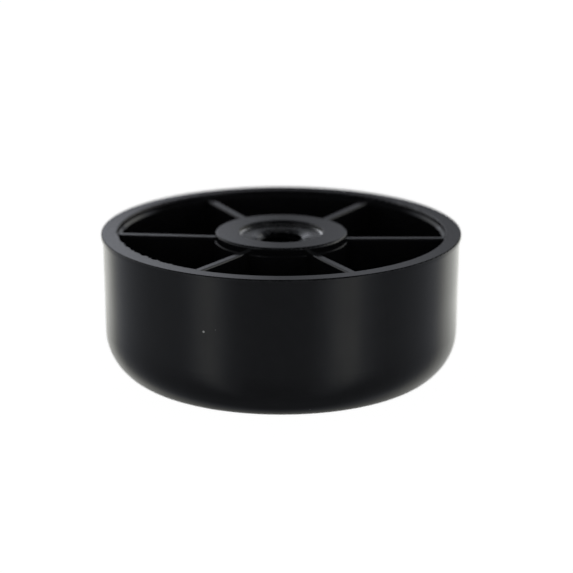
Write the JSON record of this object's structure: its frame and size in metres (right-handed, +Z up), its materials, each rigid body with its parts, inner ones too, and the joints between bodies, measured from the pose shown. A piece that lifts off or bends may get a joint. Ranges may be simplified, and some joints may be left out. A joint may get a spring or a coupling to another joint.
{
  "type": "furniture leveling foot",
  "caption": "Round moulded furniture leveling foot with a ribbed open top and a recessed threaded steel insert in its central hub.",
  "frame": {"origin": "centre of the sole, on the floor", "axes": "+Z up, along the threaded bore and out of its mouth; +X along one of the ribs"},
  "size_m": [0.06, 0.06, 0.025],
  "materials": {
    "black_plastic": "semi-gloss moulded black",
    "plated_steel": "zinc-plated, turned face"
  },
  "bodies": {
    "root": {"foot_body": "black_plastic", "threaded_insert": "plated_steel"}
  },
  "joints": []
}
